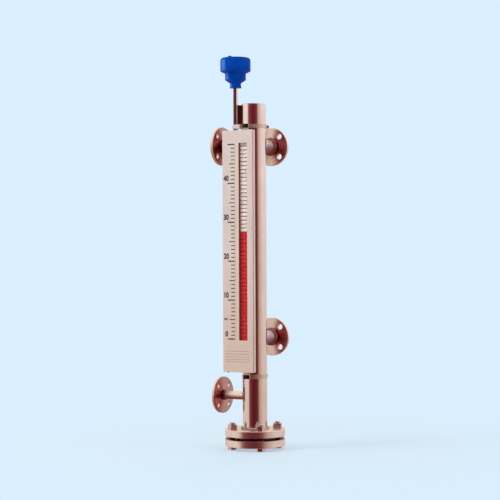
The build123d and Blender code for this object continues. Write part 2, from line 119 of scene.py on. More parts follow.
def math_node(tree, operation, first, second=0.0, clamp=False):
    """One arithmetic step."""
    node = add_node(tree, "ShaderNodeMath", {"operation": operation, "use_clamp": clamp})
    feed(tree, node, "0", first)
    feed(tree, node, "1", second)
    return node.outputs[0]


def times(tree, first, second, clamp=False):
    """A product."""
    return math_node(tree, "MULTIPLY", first, second, clamp)


def add_share(tree, base, extra, share):
    """base + extra * share."""
    return math_node(tree, "ADD", base, times(tree, extra, share))


def vector_math(tree, operation, first, second=(0.0, 0.0, 0.0)):
    """One step with vectors; a dot product and a length come out as a number."""
    node = add_node(tree, "ShaderNodeVectorMath", {"operation": operation})
    feed(tree, node, "0", first)
    feed(tree, node, "1", second)
    return node.outputs["Value" if operation in ("DOT_PRODUCT", "LENGTH") else "Vector"]


def blend_colour(tree, factor, first, second, mode="MIX"):
    """Mix two colours by a mask."""
    node = add_node(tree, "ShaderNodeMix", {"data_type": "RGBA", "blend_type": mode})
    for key, value in (("0", factor), ("6", first), ("7", second)):
        feed(tree, node, key, value)
    return node.outputs[2]


def remap(tree, value, start, end, low=0.0, high=1.0, smooth=False):
    """Map the range start..end to low..high, held at its ends."""
    node = add_node(tree, "ShaderNodeMapRange",
                    {"interpolation_type": "SMOOTHSTEP" if smooth else "LINEAR"})
    for key, given in zip(("Value", "From Min", "From Max", "To Min", "To Max"),
                          (value, start, end, low, high)):
        feed(tree, node, key, given)
    return node.outputs[0]


def noise(tree, place, scale, detail, **inputs):
    """Noise of a place, mostly between 0.3 and 0.7."""
    return add_node(tree, "ShaderNodeTexNoise", Vector=place, Scale=scale, Detail=detail,
                    **inputs).outputs[0]


def object_place(tree):
    """A point's place in its part's own frame, which travels with the part."""
    return tree.nodes.new("ShaderNodeTexCoord").outputs["Object"]


def surface_normal(tree):
    """The direction that the surface faces."""
    return tree.nodes.new("ShaderNodeNewGeometry").outputs["Normal"]


def component(tree, vector, axis):
    """The X, Y or Z of a vector."""
    return add_node(tree, "ShaderNodeSeparateXYZ", Vector=vector).outputs[axis]


print("shader helpers ready")

# %% [markdown]
# An effect that several finishes share is a node group, built once. `Grain` stretches noise along
# an axis, as a polishing belt or a brush leaves it: one stretched noise gives fine streaks, and a
# second, rounder one gives the slow clouding of a large sheet. Stretching means scaling the
# coordinates unevenly: a small scale along the streak makes the noise long in that direction.


# %% Group: grain of brushed and drawn metal
def start_group(name, inputs, outputs):
    """A shader node group with inputs (a default each, a number or a vector) and number outputs."""
    group = bpy.data.node_groups.new(name, "ShaderNodeTree")
    for label, default in inputs.items():
        kind = "NodeSocketVector" if isinstance(default, tuple) else "NodeSocketFloat"
        socket = group.interface.new_socket(name=label, in_out="INPUT", socket_type=kind)
        socket.default_value = default
    for label in outputs:
        group.interface.new_socket(name=label, in_out="OUTPUT", socket_type="NodeSocketFloat")
    return group, group.nodes.new("NodeGroupInput").outputs, group.nodes.new("NodeGroupOutput")


def build_grain_group():
    """Streaks = noise at uneven scale; clouds = noise at even scale, both 0 to 1."""
    group, given, sink = start_group(
        "Grain", {"Stretch": (900.0, 900.0, 12.0), "Cloud Scale": 14.0}, ["Streaks", "Clouds"])
    place = object_place(group)
    stretched = vector_math(group, "MULTIPLY", place, given["Stretch"])
    streaks = noise(group, stretched, 1.0, 3.0, Roughness=0.6)
    clouds = noise(group, place, given["Cloud Scale"], 4.0, Roughness=0.55)
    feed(group, sink, "Streaks", remap(group, streaks, 0.3, 0.7))
    feed(group, sink, "Clouds", remap(group, clouds, 0.32, 0.68))
    return group


grain_group = build_grain_group()
print("group:", grain_group.name)

# %% [markdown]
# A lathe leaves fine rings on a flange, all round one centre. `Turned` measures the distance from
# that centre in the plane of the face and reads a one-dimensional noise of it, so that every ring
# has its own height. Which two directions lie in the face is given by `Across` and `Up`. `Fan` is
# a wedge of the face round the `Across` direction: it follows the cosine of the angle to it.
# `Depth` is the height over the part's middle, which tells the hub's side of a flange from its
# sealing face.


# %% Group: rings of a turned face
def build_turned_group():
    """Radius = sqrt((p.Across)^2 + (p.Up)^2); ring = noise of it; fan follows p.Across / radius."""
    group, given, sink = start_group(
        "Turned",
        {"Centre": (0.0, 0.0, 0.0), "Across": (1.0, 0.0, 0.0), "Up": (0.0, 0.0, 1.0),
         "Outward": (0.0, 1.0, 0.0), "Rings": 2600.0},
        ["Height", "Radius", "Fan", "Depth"])
    offset = vector_math(group, "SUBTRACT", object_place(group), given["Centre"])
    across, up, depth = (vector_math(group, "DOT_PRODUCT", offset, given[direction])
                         for direction in ("Across", "Up", "Outward"))
    radius = math_node(group, "SQRT", add_share(group, times(group, across, across), up, up))
    rings = add_node(group, "ShaderNodeTexNoise", {"noise_dimensions": "1D"},
                     W=times(group, radius, given["Rings"]),
                     Scale=1.0, Detail=2.0, Roughness=0.7).outputs[0]
    cosine = math_node(group, "DIVIDE", across, radius)
    feed(group, sink, "Height", remap(group, rings, 0.3, 0.7))
    feed(group, sink, "Radius", radius)
    feed(group, sink, "Fan", remap(group, cosine, 0.05, 0.65, smooth=True))
    feed(group, sink, "Depth", depth)
    return group


turned_group = build_turned_group()
print("group:", turned_group.name)

# %% [markdown]
# Metal that has stood in a plant room carries a thin film: a little dust on the faces that look
# up, and hand marks anywhere. `Film` puts out one mask for it. Up-facing is the z of the normal.


# %% Group: film of dust and hand marks
def build_film_group():
    """Film = blotches of noise, stronger where the surface faces up."""
    group, given, sink = start_group("Film", {"Amount": 0.3, "Blotch Scale": 26.0}, ["Mask"])
    up = remap(group, component(group, surface_normal(group), "Z"), 0.2, 1.0, 0.35, 1.0)
    blotches = noise(group, object_place(group), given["Blotch Scale"], 5.0, Roughness=0.65)
    rough = remap(group, blotches, 0.42, 0.72, smooth=True)
    mask = times(group, times(group, rough, up), given["Amount"], clamp=True)
    feed(group, sink, "Mask", mask)
    return group


film_group = build_film_group()
print("group:", film_group.name)

# %% [markdown]
# ## Finishes
# Each finish is one material with one Principled shader. `use_group` places a shared group in it
# with the material's own values, and `finish_surface` wires what nearly every finish has: a
# colour, a roughness and a relief.


# %% Material helpers
def start_material(name, **constants):
    """A new material whose Principled shader has these plain socket values."""
    material = bpy.data.materials.new(name)
    material.use_nodes = True
    tree = material.node_tree
    shader = tree.nodes["Principled BSDF"]
    for key, value in constants.items():
        shader.inputs[key.replace("_", " ")].default_value = value
    return material, tree, shader


def use_group(tree, group, **inputs):
    """Place a shared group in a material, set its inputs and return its outputs."""
    return add_node(tree, "ShaderNodeGroup", {"node_tree": group}, **inputs).outputs


def finish_surface(tree, shader, colour, roughness, height, relief, strength=1.0):
    """Feed colour and roughness, and a height through a Bump node into the shader's normal."""
    feed(tree, shader, "Base Color", colour)
    feed(tree, shader, "Roughness", roughness)
    bump = add_node(tree, "ShaderNodeBump", Strength=strength, Distance=relief, Height=height)
    feed(tree, shader, "Normal", bump.outputs[0])


def swap_shader(tree, mask, shader, other):
    """Where the mask is 1 the surface has the other shader."""
    mix = tree.nodes.new("ShaderNodeMixShader")
    for key, value in (("0", mask), ("1", shader.outputs[0]), ("2", other.outputs[0])):
        feed(tree, mix, key, value)
    feed(tree, tree.nodes["Material Output"], "Surface", mix.outputs[0])


print("material helpers ready")

# %% [markdown]
# Most of the gauge is stainless steel, a slightly warm grey metal. What sets one piece apart from
# the next is how it was worked: the chamber is drawn tube polished lengthwise, the cover is
# brushed sheet, and the fasteners are duller bar. A picture of brushed metal could be wrapped
# round each piece, but it would stretch and show its seams. One function of noise makes all of
# them instead, and a table holds what differs. The pipes are darkened where they face down
# (`underside`), a painted shade. Two parts also darken near one height (`band`): the cover
# towards its foot, a painted reflection of the warm floor, and the bolts in the gap between the
# foot's flanges, a painted shade.


# %% Stainless steel, drawn or brushed
STEEL, STEEL_SHADED = (0.86, 0.775, 0.735), (0.74, 0.635, 0.585)
DUST, UNDERSIDE_SHADE, FOOT_GAP_SHADE = (0.62, 0.53, 0.46), (0.28, 0.045, 0.030), (0.05, 0.01, 0.012)
COVER_FOOT_REFLECTION = (0.87, 0.66, 0.54)
BAR_STOCK = (260.0, 260.0, 260.0)
gap_z = float(middle("flange_gasket")[2])


def make_steel(name, light, dark, rough, stretch, cloud_scale, relief, film=0.25, metal=1.0,
               underside=0.0, band=None):
    """Colour and roughness follow the streaks and the clouds; the streaks also stand proud.

    underside darkens what faces down, a painted shade; band = (z, half, edge, colour, amount)
    tints near a height.
    """
    material, tree, shader = start_material(name, Metallic=metal)
    grain = use_group(tree, grain_group, Stretch=stretch, Cloud_Scale=cloud_scale)
    dust = use_group(tree, film_group, Amount=film)["Mask"]
    tone = add_share(tree, times(tree, grain["Streaks"], 0.35), grain["Clouds"], 0.65)
    colour = blend_colour(tree, dust, blend_colour(tree, tone, dark, light), DUST)
    # Painted shade: what faces down turns dark brown.
    if underside:
        facing = component(tree, surface_normal(tree), "Z")
        below = remap(tree, facing, 0.35, -0.60, 0.0, underside, smooth=True)
        colour = blend_colour(tree, below, colour, UNDERSIDE_SHADE)
    if band:
        height, half, edge, tint, amount = band
        above = math_node(tree, "SUBTRACT", component(tree, object_place(tree), "Z"), height)
        near = remap(tree, math_node(tree, "ABSOLUTE", above), half, half + edge, amount, 0.0)
        colour = blend_colour(tree, near, colour, tint)
    gloss = remap(tree, tone, 0.0, 1.0, rough + 0.07, rough - 0.04)
    gloss = add_share(tree, gloss, dust, 0.18)
    finish_surface(tree, shader, colour, gloss, grain["Streaks"], relief)
    return material


# Light tone, dark tone, roughness, streak scales, cloud scale, relief, then what else differs.
STEELS = {
    "drawn_steel": (STEEL, STEEL_SHADED, 0.13, (700.0, 700.0, 9.0), 16.0, 0.00002, {}),
    # Both pairs of branch pipes take the painted shade on their undersides.
    "nozzle_steel": ((0.95, 0.76, 0.76), (0.87, 0.67, 0.68), 0.24, (60.0, 60.0, 500.0), 60.0,
                     0.00002, {"film": 0.1, "metal": 0.4, "underside": 0.85}),
    "tinted_nozzle_steel": ((0.96, 0.80, 0.68), (0.88, 0.66, 0.52), 0.26, (30.0, 500.0, 500.0),
                            60.0, 0.00002, {"film": 0.08, "metal": 0.5, "underside": 0.95}),
    "clip_steel": ((0.96, 0.87, 0.90), (0.84, 0.72, 0.75), 0.35, (300.0, 300.0, 300.0), 60.0,
                   0.00002, {"metal": 0.3}),
    # The stem bracket is coloured near black: a painted dark reflection.
    "bracket_steel": ((0.20, 0.075, 0.075), (0.10, 0.03, 0.035), 0.40, BAR_STOCK, 60.0, 0.00003,
                      {"film": 0.1}),
    # The cover turns warmer and darker towards its foot: a painted reflection of the warm floor.
    "cover_steel": ((0.94, 0.86, 0.81), (0.85, 0.76, 0.70), 0.38, (1500.0, 40.0, 14.0), 9.0,
                    0.000015, {"metal": 0.5, "band": (cover_foot, 0.05, 0.30, COVER_FOOT_REFLECTION, 0.6)}),
    "tray_steel": ((0.84, 0.76, 0.73), (0.72, 0.63, 0.59), 0.45, (900.0, 900.0, 20.0), 12.0,
                   0.00002, {}),
    "band_steel": ((0.86, 0.76, 0.70), (0.70, 0.58, 0.52), 0.50, (60.0, 60.0, 900.0), 50.0,
                   0.00002, {}),
    "fastener_steel": ((0.74, 0.64, 0.59), (0.52, 0.41, 0.36), 0.24, BAR_STOCK, 90.0, 0.00003,
                       {"film": 0.4}),
    # The bolts turn near black in the gap between the foot's flanges: painted shade.
    "bolt_steel": ((0.74, 0.64, 0.59), (0.52, 0.41, 0.36), 0.24, BAR_STOCK, 90.0, 0.00003,
                   {"film": 0.4, "band": (gap_z, 0.0026, 0.0004, FOOT_GAP_SHADE, 1.0)}),
    # The clamp plates and screws are coloured near black: a painted dark reflection.
    "dark_reflection_steel": ((0.060, 0.026, 0.028), (0.030, 0.012, 0.014), 0.34, BAR_STOCK, 90.0,
                          0.00003, {"film": 0.1}),
    "float_steel": ((0.74, 0.71, 0.68), (0.62, 0.59, 0.56), 0.28, (500.0, 500.0, 20.0), 20.0,
                    0.00002, {}),
}
finish_of = {name: make_steel(name, *values, **rest) for name, (*values, rest) in STEELS.items()}
print("steels:", list(finish_of))

# %% [markdown]
# The transmitter's thin stem is darkened down the side that faces away from the chamber: a
# painted dark reflection. The mask is the cosine of the angle between a point's direction from
# the tube's axis and the direction that the dark side faces.


# %% Stained stem
STEM_DARK_REFLECTION = (0.09, 0.012, 0.018)


def make_stem_steel(name, node, facing):
    """Steel with a painted dark reflection where (p - axis) . facing / radius is large."""
    material, tree, shader = start_material(name, Metallic=1.0)
    low, high = limits(node)
    offset = vector_math(tree, "SUBTRACT", object_place(tree), tuple(middle(node)))
    cosine = math_node(tree, "DIVIDE", vector_math(tree, "DOT_PRODUCT", offset, facing),
                       float(high[0] - low[0]) / 2)
    grain = use_group(tree, grain_group, Stretch=(500.0, 500.0, 30.0), Cloud_Scale=60.0)
    uneven = math_node(tree, "SUBTRACT", grain["Clouds"], 0.5)
    ragged = add_share(tree, cosine, uneven, 0.12)
    # Painted dark reflection down the side away from the chamber, ragged at its edge.
    dark_reflection = remap(tree, ragged, 0.46, 0.70, 0.0, 0.92, smooth=True)
    colour = blend_colour(tree, grain["Streaks"], STEEL_SHADED, STEEL)
    colour = blend_colour(tree, dark_reflection, colour, STEM_DARK_REFLECTION)
    gloss = remap(tree, dark_reflection, 0.0, 1.0, 0.20, 0.34)
    finish_surface(tree, shader, colour, gloss, grain["Streaks"], 0.00002)
    return material


finish_of["stem_steel"] = make_stem_steel("stem_steel", "sensor_tube", (-0.375, -0.927, 0.0))
print("finish: stem_steel")

# %% [markdown]
# The flanges are turned on a lathe. On the hub's side their faces are darkened in wine, brown and
# straw tones: a painted reflection, strongest in one fan, where a turned face shows a dark wedge
# across its rings, and round the hub. The sealing face is left clean. So the tint is a mask on
# `Depth`, full on the hub and in one fan, and its colour changes with the radius. The foot's
# flanges carry the same tint in their gap, as painted shade.


# %% Stainless steel, turned
WINE, HUB_WINE = (0.34, 0.014, 0.024), (0.19, 0.010, 0.018)
BROWN, STRAW = (0.36, 0.075, 0.045), (0.38, 0.18, 0.18)
TURNED_LIGHT, TURNED_DARK = (0.94, 0.84, 0.80), (0.78, 0.67, 0.62)
HAND_MARKS = (0.62, 0.44, 0.36)
RING_HEIGHT = 0.000012


def make_turned_steel(name, node, plane, tint_edge, tint_least, hub=0.0, rim=0.05, dull=0.0):
    """Rings round one part's middle; tinted below the depth tint_edge, at least by tint_least."""
    material, tree, shader = start_material(name, Metallic=1.0)
    across, up, outward = plane
    lathe = use_group(tree, turned_group, Centre=tuple(middle(node)), Across=across, Up=up,
                      Outward=outward)
    clouds = use_group(tree, grain_group, Stretch=(300.0, 300.0, 300.0), Cloud_Scale=45.0)["Clouds"]
    dust = use_group(tree, film_group, Amount=0.35, Blotch_Scale=40.0)["Mask"]
    tone = add_share(tree, times(tree, lathe["Height"], 0.5), clouds, 0.5)
    colour = blend_colour(tree, tone, TURNED_DARK, TURNED_LIGHT)
    colour = blend_colour(tree, dust, colour, HAND_MARKS)
    outwards = remap(tree, lathe["Radius"], hub + 0.7 * (rim - hub), rim, smooth=True)
    # Painted reflection: wine to brown across the fan, straw outside it, darkest round the hub.
    fan_tint = blend_colour(tree, outwards, WINE, BROWN)
    on_hub = remap(tree, lathe["Radius"], hub, hub + 0.0015, 1.0, 0.0)
    tint_colour = blend_colour(tree, lathe["Fan"], STRAW, fan_tint)
    tint_colour = blend_colour(tree, on_hub, tint_colour, HUB_WINE)
    fan = remap(tree, lathe["Fan"], 0.0, 1.0, tint_least, 0.95)
    strength = math_node(tree, "MAXIMUM", fan, times(tree, on_hub, 0.9))
    hub_side = remap(tree, lathe["Depth"], tint_edge, tint_edge + 0.001, 1.0, 0.0)
    uneven = remap(tree, clouds, 0.0, 1.0, 0.86, 1.04)
    tint = times(tree, times(tree, hub_side, strength), uneven, clamp=True)
    colour = blend_colour(tree, tint, colour, tint_colour)
    gloss = remap(tree, tone, 0.0, 1.0, 0.27 + dull, 0.17 + dull)
    gloss = add_share(tree, gloss, dust, 0.15)
    ring_height = times(tree, lathe["Height"], RING_HEIGHT)
    finish_surface(tree, shader, colour, gloss, ring_height, 1.0)
    return material


SIDEWAYS, BACKWARD, FORWARD = (1.0, 0.0, 0.0), (0.0, 1.0, 0.0), (0.0, -1.0, 0.0)
LEFTWARD, UPWARD, DOWNWARD = (-1.0, 0.0, 0.0), (0.0, 0.0, 1.0), (0.0, 0.0, -1.0)
# Across, up and outward; then tint_edge and tint_least, and where they differ hub, rim and dull.
TURNED_PARTS = {
    "upper_process_flange": ((SIDEWAYS, UPWARD, BACKWARD), 0.0018, 0.05, 0.0232, 0.050),
    "lower_process_flange": ((SIDEWAYS, UPWARD, BACKWARD), 0.0018, 0.05, 0.0232, 0.050),
    "vent_flange": ((FORWARD, UPWARD, LEFTWARD), 0.0018, 0.80, 0.0182, 0.050),
    "drain_flange": ((FORWARD, UPWARD, LEFTWARD), 0.0018, 0.80, 0.0137, 0.0475),
    # The foot's two flanges are tinted on the sides that face their gap: painted shade.
    "chamber_flange": ((SIDEWAYS, BACKWARD, UPWARD), -0.0102, 0.95, 0.078, 0.080, 0.07),
    "blind_flange": ((SIDEWAYS, BACKWARD, DOWNWARD), -0.0082, 0.95, 0.078, 0.080, 0.07),
    "chamber_cap": ((SIDEWAYS, BACKWARD, UPWARD), -0.1, 0.0),
}
turned_steels = {part: make_turned_steel("turned_" + part, part, *values)
                 for part, values in TURNED_PARTS.items()}
print("turned finishes:", len(turned_steels))

# %% [markdown]
# The transmitter's head is die-cast aluminium under blue enamel. Sprayed enamel isn't flat: it has
# a faint orange-peel ripple, which a fine noise in the bump gives. The colour is paler in a band
# of normals round one side: a painted highlight. A clear coat would gleam as a car does, and this
# paint is old and dull, so it has none.


# %% Blue enamel
HIGHLIGHT_SIDE = (-0.40, -0.917, 0.0)
DEEP_BLUE, BLUE, DUSTY_BLUE = (0.0002, 0.050, 0.33), (0.0006, 0.074, 0.46), (0.006, 0.11, 0.42)
HIGHLIGHT_BLUE = (0.11, 0.26, 0.86)


def make_enamel(name):
    """Two close blues clouded by noise, paler where normal . highlight side is large, with a
    ripple.
    """
    material, tree, shader = start_material(name, IOR=1.45, Specular_IOR_Level=0.03)
    place = object_place(tree)
    dust = use_group(tree, film_group, Amount=0.22, Blotch_Scale=60.0)["Mask"]
    clouds = noise(tree, place, 30.0, 3.0)
    colour = blend_colour(tree, remap(tree, clouds, 0.35, 0.65), DEEP_BLUE, BLUE)
    colour = blend_colour(tree, dust, colour, DUSTY_BLUE)
    # Painted highlight: a pale streak on the normals that face one side.
    facing = vector_math(tree, "DOT_PRODUCT", surface_normal(tree), HIGHLIGHT_SIDE)
    uneven = math_node(tree, "SUBTRACT", clouds, 0.5)
    ragged = add_share(tree, facing, uneven, 0.05)
    painted_highlight = remap(tree, ragged, 0.965, 1.0, 0.0, 0.60, smooth=True)
    colour = blend_colour(tree, painted_highlight, colour, HIGHLIGHT_BLUE)
    gloss = remap(tree, clouds, 0.3, 0.7, 0.30, 0.38)
    finish_surface(tree, shader, colour, gloss, noise(tree, place, 900.0, 1.0), 0.00006, 0.6)
    return material


finish_of["blue_enamel"] = make_enamel("blue_enamel")
print("finish: blue_enamel")

# %% [markdown]
# A flap is moulded in two colours, one on each side. Two materials on two sets of faces would do,
# but a mask needs no sorting of faces: the part's own y says which side of the flap's axis a point
# is on, and because it travels with the flap the colours stay put when the flap turns over. Each
# flap also differs a little in tone, by a chance drawn from its number in the column, and its long
# edges are darkened by the distance from the flap's middle as a share of the pitch: painted shade
# of the gaps between the flaps.


# %% Two-coloured flaps
RED, CREAM = (0.78, 0.016, 0.018), (0.92, 0.73, 0.61)
FLAP_EDGE_SHADE, WORN = (0.20, 0.05, 0.04), (0.30, 0.03, 0.03)
flap_axis_y = float(middle("flap_20")[1])
flap_pitch = float(middle("flap_21")[2] - middle("flap_20")[2])


def make_flap(name, front, back):
    """Front colour where y is less than the axis, back colour behind it."""
    material, tree, shader = start_material(name, IOR=1.46, Specular_IOR_Level=0.15)
    place = object_place(tree)
    behind = math_node(tree, "GREATER_THAN", component(tree, place, "Y"), flap_axis_y)
    pitches = math_node(tree, "DIVIDE", component(tree, place, "Z"), flap_pitch)
    chance = add_node(tree, "ShaderNodeTexWhiteNoise", {"noise_dimensions": "1D"},
                      W=math_node(tree, "ROUND", pitches)).outputs[0]
    speck = noise(tree, place, 900.0, 3.0)
    step = math_node(tree, "FRACT", math_node(tree, "ADD", pitches, 0.5))
    from_middle = math_node(tree, "ABSOLUTE", math_node(tree, "SUBTRACT", step, 0.5))
    # Painted shade of the gaps between flaps, darkest at the long edges.
    edge = remap(tree, from_middle, 0.30, 0.47, 0.0, 0.75, smooth=True)
    colour = blend_colour(tree, edge, blend_colour(tree, behind, front, back), FLAP_EDGE_SHADE)
    worn = add_share(tree, times(tree, chance, 0.10), speck, 0.10)
    colour = blend_colour(tree, worn, colour, WORN)
    gloss = remap(tree, speck, 0.3, 0.7, 0.36, 0.5)
    finish_surface(tree, shader, colour, gloss, speck, 0.00003, 0.5)
    return material


finish_of["red_front_flap"] = make_flap("red_front_flap", RED, CREAM)
finish_of["cream_front_flap"] = make_flap("cream_front_flap", CREAM, RED)
print("flap axis", round(flap_axis_y, 4), "pitch", round(flap_pitch, 4))

# %% [markdown]
# The remaining finishes are quieter: the moulded channel that carries the flaps, rubber, gasket
# sheet, circuit board, magnet, plastic and the three printing inks. Each is a base colour broken
# up by noise, with its own gloss and grain, because a single flat colour looks like plastic
# whatever it is meant to be.


# %% Moulded, rubber, board and ink finishes
SETTLED_DUST = (0.40, 0.36, 0.32)


def make_matt(name, light, dark, rough, scale, relief, metal=0.0):
    """Two tones mixed by noise, with the same noise as a fine relief."""
    material, tree, shader = start_material(name, Metallic=metal)
    dust = use_group(tree, film_group, Amount=0.2, Blotch_Scale=50.0)["Mask"]
    grain = noise(tree, object_place(tree), scale, 4.0)
    tone = remap(tree, grain, 0.35, 0.65)
    colour = blend_colour(tree, dust, blend_colour(tree, tone, dark, light), SETTLED_DUST)
    gloss = remap(tree, tone, 0.0, 1.0, rough + 0.06, rough - 0.06)
    finish_surface(tree, shader, colour, gloss, grain, relief, 0.7)
    return material


# Light tone, dark tone, roughness, noise scale and relief, and how metallic it is if it is.
MATTS = {
    "channel_plastic": ((0.42, 0.055, 0.085), (0.30, 0.036, 0.055), 0.5, 700.0, 0.00004),
    "gasket_sheet": ((0.055, 0.05, 0.05), (0.03, 0.026, 0.026), 0.75, 500.0, 0.00008),
    "seal_rubber": ((0.004, 0.026, 0.13), (0.003, 0.018, 0.09), 0.6, 600.0, 0.00005),
    "stop_plastic": ((0.82, 0.81, 0.77), (0.72, 0.71, 0.67), 0.45, 300.0, 0.00003),
    "terminal_plastic": ((0.05, 0.055, 0.05), (0.03, 0.035, 0.03), 0.45, 400.0, 0.00004),
    "magnet_ferrite": ((0.10, 0.10, 0.105), (0.05, 0.05, 0.055), 0.5, 500.0, 0.00006, 0.6),
    "board_green": ((0.02, 0.16, 0.06), (0.01, 0.10, 0.04), 0.35, 350.0, 0.00003),
    "scale_ink": ((0.080, 0.026, 0.045), (0.055, 0.016, 0.030), 0.5, 800.0, 0.00001),
    "ochre_ink": ((0.76, 0.60, 0.24), (0.68, 0.52, 0.18), 0.5, 800.0, 0.00001),
    "rule_ink": ((0.46, 0.30, 0.20), (0.38, 0.24, 0.15), 0.5, 800.0, 0.00001),
}
finish_of.update({name: make_matt(name, *values) for name, values in MATTS.items()})
print("matt finishes:", len(MATTS))

# %% [markdown]
# The window is a flat pane. A Principled shader with full transmission bends and reflects light,
# and its shadow would be nearly black, because a path tracer rarely finds a lamp through glass.
# So a shadow ray meets a transparent shader instead. A faint noise in the roughness is the haze
# of a pane that has been wiped. Its index is low, so it lays no bright sheet over the flaps.


# %% Window pane
def make_pane(name):
    """Glass for every ray but shadow rays, which pass a light tint."""
    material, tree, shader = start_material(name, Transmission_Weight=1.0, IOR=1.08, Metallic=0.0)
    feed(tree, shader, "Base Color", (0.97, 0.96, 0.95))
    haze = noise(tree, object_place(tree), 35.0, 4.0)
    feed(tree, shader, "Roughness", remap(tree, haze, 0.4, 0.7, 0.01, 0.05))
    is_shadow = tree.nodes.new("ShaderNodeLightPath").outputs["Is Shadow Ray"]
    clear = add_node(tree, "ShaderNodeBsdfTransparent", Color=(0.95, 0.94, 0.93))
    swap_shader(tree, is_shadow, shader, clear)
    return material


finish_of["window_glass"] = make_pane("window_glass")
print("finish: window_glass")

# %% [markdown]
# Every part now gets its finish. The table lists the parts that have each one. The flaps with a
# hinge of their own take theirs from the slot in their record, and the loop stops with an error
# if any part is left without.

# %% Give every part its finish
PARTS_WITH = {
    "drawn_steel": ["chamber_tube"], "stem_steel": ["sensor_tube"],
    "nozzle_steel": ["upper_process_nozzle", "lower_process_nozzle"],
    "tinted_nozzle_steel": ["vent_nozzle", "drain_nozzle"],
    "clip_steel": ["stem_clips"], "bracket_steel": ["stem_bracket"],
    "cover_steel": ["scale_cover"], "tray_steel": ["indicator_housing"],
    "band_steel": ["upper_clamp_band", "lower_clamp_band"],
    "fastener_steel": ["flange_nuts", "cover_screws", "clamp_lugs", "worm_screws", "entry_plug"],
    "bolt_steel": ["flange_bolts"], "dark_reflection_steel": ["clamp_plates", "clamp_screws"],
    "float_steel": ["float_shell"], "magnet_ferrite": ["float_magnet"],
    "stop_plastic": ["float_stops"], "gasket_sheet": ["flange_gasket"],
    "window_glass": ["window_pane"], "channel_plastic": ["flap_frame"],
    "red_front_flap": ["lower_flaps"], "cream_front_flap": ["upper_flaps"],
    "blue_enamel": ["head_body", "head_lid"], "seal_rubber": ["lid_seal"],
    "terminal_plastic": ["terminal_block"], "board_green": ["sensor_strip"],
}
FLAP_FINISHES = {"flap_red": "red_front_flap", "flap_white": "cream_front_flap"}
finishes = {part: finish_of[name] for name, parts in PARTS_WITH.items() for part in parts}
finishes.update(turned_steels)
for row in frame["record"]["subparts"]:
    if row["node"] not in finishes:
        finishes[row["node"]] = finish_of[FLAP_FINISHES[row["material_slot"]]]
for name, part in nodes.items():
    for slot_row in part.material_slots:
        slot_row.material = finishes[name]
print("dressed parts:", len(nodes))

# %% [markdown]
# ## New pieces
# A new piece is a surface worked out as arrays. It could be modelled by hand, but then it
# wouldn't follow the parts. `grid_faces` joins points on a grid of rows and columns with
# four-sided faces; a closed direction joins its last row or column to its first.


# %% Make a mesh from arrays
def place_piece(name, mesh, material):
    """Put a mesh into the scene, with one material, as a piece that rides on the gauge."""
    mesh.materials.clear()
    mesh.materials.append(material)
    mesh.update()
    piece = bpy.data.objects.new(name, mesh)
    bpy.context.collection.objects.link(piece)
    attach(piece, "gauge")


def make_piece(name, points, faces, material, slot, smooth=True):
    """Make a piece of points (n, 3) and faces (m, 4)."""
    mesh = bpy.data.meshes.new(name)
    mesh.from_pydata(points.tolist(), [], faces.tolist())
    mesh.validate()
    mesh.polygons.foreach_set("use_smooth", np.full(len(mesh.polygons), smooth))
    place_piece(name, mesh, material)


def mesh_points(mesh):
    """A mesh's points as rows of x, y, z."""
    points = np.zeros(len(mesh.vertices) * 3)
    mesh.vertices.foreach_get("co", points)
    return points.reshape(-1, 3)


def grid_faces(rows, columns, close_rows=False, close_columns=False):
    """Four corners per cell: (r, c), (r, c+1), (r+1, c+1), (r+1, c), wrapped where closed."""
    r, c = np.meshgrid(np.arange(rows if close_rows else rows - 1),
                       np.arange(columns if close_columns else columns - 1), indexing="ij")
    r, c = r.ravel(), c.ravel()
    r2, c2 = (r + 1) % rows, (c + 1) % columns
    return np.stack([r * columns + c, r * columns + c2, r2 * columns + c2, r2 * columns + c],
                    axis=1)


def stack_meshes(parts):
    """Several (points, faces) pairs as one, with each part's face numbers moved up."""
    counts = np.cumsum([0] + [len(points) for points, _ in parts[:-1]])
    points = np.concatenate([points for points, _ in parts])
    faces = np.concatenate([faces + start for (_, faces), start in zip(parts, counts)])
    return points, faces


print("a closed grid of 3 by 4 points has", len(grid_faces(3, 4, True, True)), "faces")

# %% [markdown]
# ### Print on the cover
# The scale is screen printed: a line at each centimetre, longer at each 5 and longest at each 10,
# all ending at one upright ochre line, with a number above each long line. A mask in the cover's
# finish could draw it, but it would blur at this size. So a printed line is a slab a tenth of a
# millimetre thick that stands on the steel. It shows from every side and never flickers against
# the sheet behind it.

# %% Printed bars
INK_PROUD, INK_SUNK = 0.00010, 0.00002
BOX_CORNERS = np.array([[x, y, z] for x in (0, 1) for y in (0, 1) for z in (0, 1)], float)
BOX_FACES = np.array([[0, 1, 3, 2], [4, 6, 7, 5], [0, 4, 5, 1],
                      [2, 3, 7, 6], [0, 2, 6, 4], [1, 5, 7, 3]])
print_back, print_front = cover_front + INK_SUNK, cover_front - INK_PROUD


def bars(left, right, low, high):
    """A slab for each row of four arrays: corner = low corner + unit box * size."""
    left, right, low, high = np.broadcast_arrays(*np.atleast_1d(left, right, low, high))
    start = np.stack([left, np.full(left.shape, print_front), low], axis=1)
    size = np.stack([right, np.full(left.shape, print_back), high], axis=1) - start
    points = start[:, None, :] + BOX_CORNERS * size[:, None, :]
    faces = BOX_FACES + len(BOX_CORNERS) * np.arange(len(left))[:, None, None]
    return points.reshape(-1, 3), faces.reshape(-1, 4)


